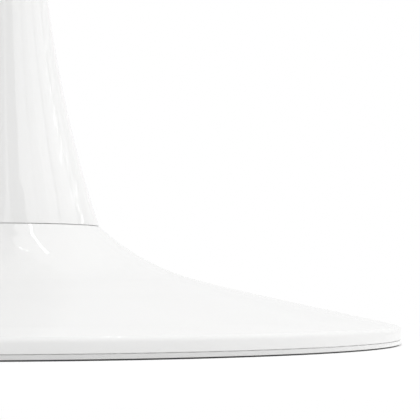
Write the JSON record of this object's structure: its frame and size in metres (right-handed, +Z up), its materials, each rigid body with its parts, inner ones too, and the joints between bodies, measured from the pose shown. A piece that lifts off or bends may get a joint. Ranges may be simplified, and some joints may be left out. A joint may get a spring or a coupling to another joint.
{
  "type": "tulip table base",
  "caption": "Round pedestal base for a table: wide low trumpet-shaped foot, slender waisted column and a flat top plate with screw holes.",
  "frame": {"origin": "on the floor, on the axis of the column, under the middle of the foot", "axes": "+Z up along the axis of the column and the tie rod, +X towards one of the screw holes"},
  "size_m": [0.6, 0.6, 0.72],
  "materials": {
    "white_lacquer": "high-gloss white lacquer on cast aluminium",
    "white_plastic": "smooth white moulded plastic",
    "black_rubber": "matt black rubber",
    "zinc_steel": "bright zinc-plated steel",
    "black_powder_coat": "satin black powder coat with a fine texture"
  },
  "bodies": {
    "root": {"foot": "white_lacquer", "column": "white_lacquer", "floor_ring": "white_plastic", "grip_strip": "black_rubber", "tie_rod": "zinc_steel", "clamp_washer": "zinc_steel", "spring_washer": "zinc_steel", "tie_nut": "zinc_steel", "top_plate": "black_powder_coat"}
  },
  "joints": []
}
